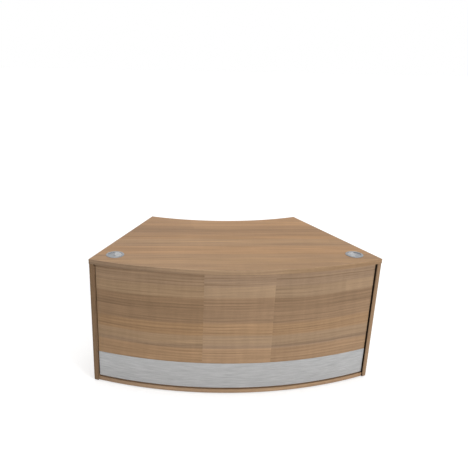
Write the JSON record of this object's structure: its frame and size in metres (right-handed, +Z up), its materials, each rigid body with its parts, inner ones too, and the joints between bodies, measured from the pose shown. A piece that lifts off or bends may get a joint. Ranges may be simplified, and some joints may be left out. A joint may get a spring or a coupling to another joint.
{
  "type": "curved reception desk",
  "caption": "Curved low reception desk: a sector-shaped worktop on end panels, a bowed panelled front with a metal kick plate, cable grommets and levelling feet.",
  "frame": {"origin": "on the floor, under the middle of the desk's bounding box", "axes": "+Z up, +X to the right seen from the visitors' side, -Y the bowed front that faces the visitors, +Y the user's side"},
  "size_m": [1.5308, 0.8914, 0.7235],
  "materials": {
    "walnut_board": "light walnut decor on chipboard, satin",
    "walnut_edging": "matching satin edging strip",
    "brushed_aluminium": "fine horizontal brushing",
    "silver_plastic": "silver-grey moulded, satin",
    "black_plastic": "moulded, matt",
    "batten_timber": "planed softwood, bare",
    "dark_batten": "stained nearly black, matt",
    "zinc_fitting": "die-cast or plated zinc"
  },
  "bodies": {
    "carcass": {"worktop": "walnut_board", "worktop_front_edging": "walnut_edging", "worktop_rear_edging": "walnut_edging", "worktop_left_edging": "walnut_edging", "worktop_right_edging": "walnut_edging", "left_end_panel": "walnut_board", "left_end_front_edging": "walnut_edging", "left_end_rear_edging": "walnut_edging", "right_end_panel": "walnut_board", "right_end_front_edging": "walnut_edging", "right_end_rear_edging": "walnut_edging", "base_panel": "walnut_board", "base_front_edging": "walnut_edging", "base_rear_edging": "walnut_edging", "front_panel_left": "walnut_board", "front_panel_centre": "walnut_board", "front_panel_right": "walnut_board", "kick_plate": "brushed_aluminium", "top_batten": "batten_timber", "base_batten": "batten_timber", "left_joint_batten": "batten_timber", "right_joint_batten": "batten_timber", "left_end_batten": "dark_batten", "right_end_batten": "dark_batten", "left_grommet_sleeve": "silver_plastic", "right_grommet_sleeve": "silver_plastic", "left_front_foot_insert": "black_plastic", "left_rear_foot_insert": "black_plastic", "left_base_foot_insert": "black_plastic", "right_front_foot_insert": "black_plastic", "right_rear_foot_insert": "black_plastic", "right_base_foot_insert": "black_plastic", "left_front_top_cam": "zinc_fitting", "left_front_top_bolt": "zinc_fitting", "left_rear_top_cam": "zinc_fitting", "left_rear_top_bolt": "zinc_fitting", "right_front_top_cam": "zinc_fitting", "right_front_top_bolt": "zinc_fitting", "right_rear_top_cam": "zinc_fitting", "right_rear_top_bolt": "zinc_fitting", "left_front_base_cam": "zinc_fitting", "left_front_base_bolt": "zinc_fitting", "left_rear_base_cam": "zinc_fitting", "left_rear_base_bolt": "zinc_fitting", "right_front_base_cam": "zinc_fitting", "right_front_base_bolt": "zinc_fitting", "right_rear_base_cam": "zinc_fitting", "right_rear_base_bolt": "zinc_fitting"},
    "left_lid": {"left_grommet_lid": "silver_plastic"},
    "right_lid": {"right_grommet_lid": "silver_plastic"},
    "left_shutter": {"left_grommet_shutter": "silver_plastic"},
    "right_shutter": {"right_grommet_shutter": "silver_plastic"},
    "left_front_foot": {"left_front_foot": "black_plastic"},
    "left_rear_foot": {"left_rear_foot": "black_plastic"},
    "left_base_foot": {"left_base_foot": "black_plastic"},
    "right_front_foot": {"right_front_foot": "black_plastic"},
    "right_rear_foot": {"right_rear_foot": "black_plastic"},
    "right_base_foot": {"right_base_foot": "black_plastic"}
  },
  "joints": [
    {"name": "left_lid_lift", "type": "slide", "parent": "carcass", "child": "left_lid", "axis": [0, 0, 1], "range_m": [0, 0.03]},
    {"name": "right_lid_lift", "type": "slide", "parent": "carcass", "child": "right_lid", "axis": [0, 0, 1], "range_m": [0, 0.03]},
    {"name": "left_shutter_turn", "type": "hinge", "parent": "left_lid", "child": "left_shutter", "pos_m": [-0.63554, -0.23085, 0.72], "axis": [0, 0, 1], "range_deg": [-180, 0]},
    {"name": "right_shutter_turn", "type": "hinge", "parent": "right_lid", "child": "right_shutter", "pos_m": [0.63554, -0.23085, 0.72], "axis": [0, 0, 1], "range_deg": [0, 180]},
    {"name": "left_front_foot_travel", "type": "slide", "parent": "carcass", "child": "left_front_foot", "axis": [0, 0, -1], "range_m": [0, 0.01]},
    {"name": "left_rear_foot_travel", "type": "slide", "parent": "carcass", "child": "left_rear_foot", "axis": [0, 0, -1], "range_m": [0, 0.01]},
    {"name": "left_base_foot_travel", "type": "slide", "parent": "carcass", "child": "left_base_foot", "axis": [0, 0, -1], "range_m": [0, 0.01]},
    {"name": "right_front_foot_travel", "type": "slide", "parent": "carcass", "child": "right_front_foot", "axis": [0, 0, -1], "range_m": [0, 0.01]},
    {"name": "right_rear_foot_travel", "type": "slide", "parent": "carcass", "child": "right_rear_foot", "axis": [0, 0, -1], "range_m": [0, 0.01]},
    {"name": "right_base_foot_travel", "type": "slide", "parent": "carcass", "child": "right_base_foot", "axis": [0, 0, -1], "range_m": [0, 0.01]}
  ]
}
